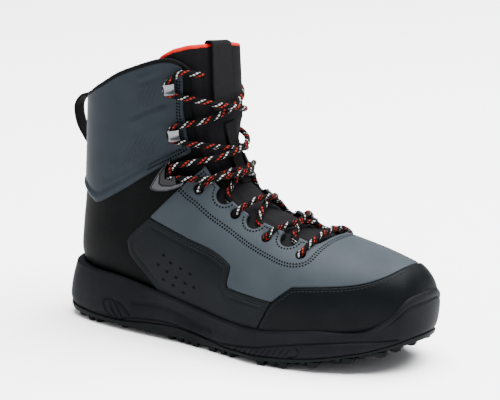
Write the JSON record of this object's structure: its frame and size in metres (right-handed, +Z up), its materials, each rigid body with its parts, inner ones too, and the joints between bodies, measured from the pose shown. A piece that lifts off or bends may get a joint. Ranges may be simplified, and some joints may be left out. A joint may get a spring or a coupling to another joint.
{
  "type": "wading boot",
  "caption": "High laced wading boot for the right foot: synthetic upper with layered panels, toe rand, hooks and eyelets, moulded midsole and a rubber tread of petal lugs.",
  "frame": {"origin": "on the floor, under the middle of the boot's box", "axes": "+X to the toe, +Y to the inner side of the foot, +Z up"},
  "size_m": [0.3178, 0.1228, 0.2318],
  "materials": {
    "outsole": "matt moulded rubber",
    "midsole": "fine grained moulded foam",
    "insole": "cloth covered foam",
    "upper": "black synthetic leather",
    "shaft_panel": "slate coated synthetic, embossed",
    "vamp_panel": "slate coated synthetic, stitched",
    "side_panel_lateral": "black coated, perforated",
    "side_panel_medial": "black coated, perforated",
    "toe_rand": "black grained rand",
    "collar_binding": "woven binding",
    "tongue": "black woven cloth, padded, red at the rim",
    "tongue_strap": "ribbed webbing",
    "pull_loop": "webbing",
    "sole_tag": "red rubber, plain",
    "hooks": "satin metal",
    "lace": "round braid, black with red and white flecks"
  },
  "bodies": {
    "root": {"outsole": "outsole", "midsole": "midsole", "insole": "insole", "upper": "upper", "shaft_panel": "shaft_panel", "vamp_panel": "vamp_panel", "side_panel_lateral": "side_panel_lateral", "side_panel_medial": "side_panel_medial", "toe_rand": "toe_rand", "collar_binding": "collar_binding", "tongue": "tongue", "tongue_strap": "tongue_strap", "pull_loop": "pull_loop", "sole_tag": "sole_tag", "lock_hook_lateral": "hooks", "lock_hook_medial": "hooks", "speed_hook_lateral_1": "hooks", "speed_hook_lateral_2": "hooks", "speed_hook_medial_1": "hooks", "speed_hook_medial_2": "hooks", "lace_bar": "lace", "lace_crossing_1": "lace", "lace_crossing_2": "lace", "lace_crossing_3": "lace", "lace_crossing_4": "lace", "lace_crossing_5": "lace", "lace_crossing_6": "lace", "lace_end_lateral": "lace"}
  },
  "joints": []
}
